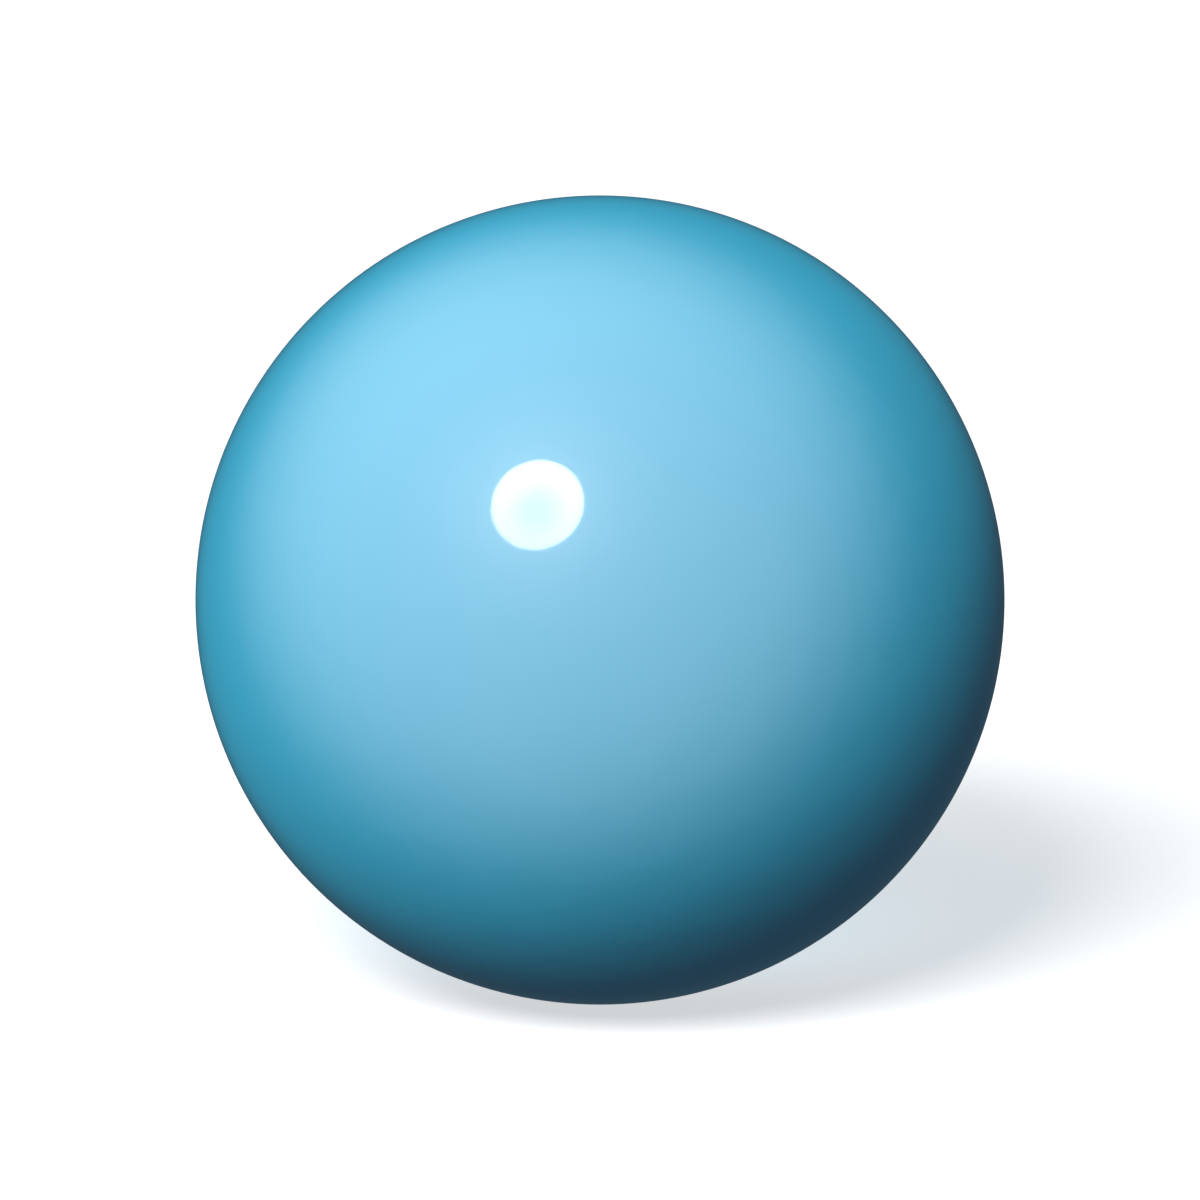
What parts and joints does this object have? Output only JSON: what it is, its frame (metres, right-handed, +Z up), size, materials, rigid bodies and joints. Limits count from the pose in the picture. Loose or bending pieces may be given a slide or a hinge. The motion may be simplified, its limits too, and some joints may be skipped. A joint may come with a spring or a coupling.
{
  "type": "rhythmic gymnastics ball",
  "caption": "Smooth gloss rubber ball for rhythmic gymnastics: a thick cover over an airtight bladder, with a needle valve whose self-sealing core pulls out of its seat.",
  "frame": {"origin": "centre of the ball", "axes": "+Z up, +Y along the valve's axis, out of the ball at the valve and away from the picture's camera, +X to the right in the picture"},
  "size_m": [0.185, 0.1847, 0.185],
  "materials": {
    "cover_rubber": "gloss",
    "bladder_rubber": "matte",
    "seat_rubber": "satin",
    "core_rubber": "satin"
  },
  "bodies": {
    "ball": {"outer_cover": "cover_rubber", "inner_bladder": "bladder_rubber", "valve_seat": "seat_rubber"},
    "core": {"valve_core": "core_rubber"}
  },
  "joints": [
    {"name": "core_pull", "type": "slide", "parent": "ball", "child": "core", "axis": [0, 1, 0], "range_m": [0, 0.022]}
  ]
}
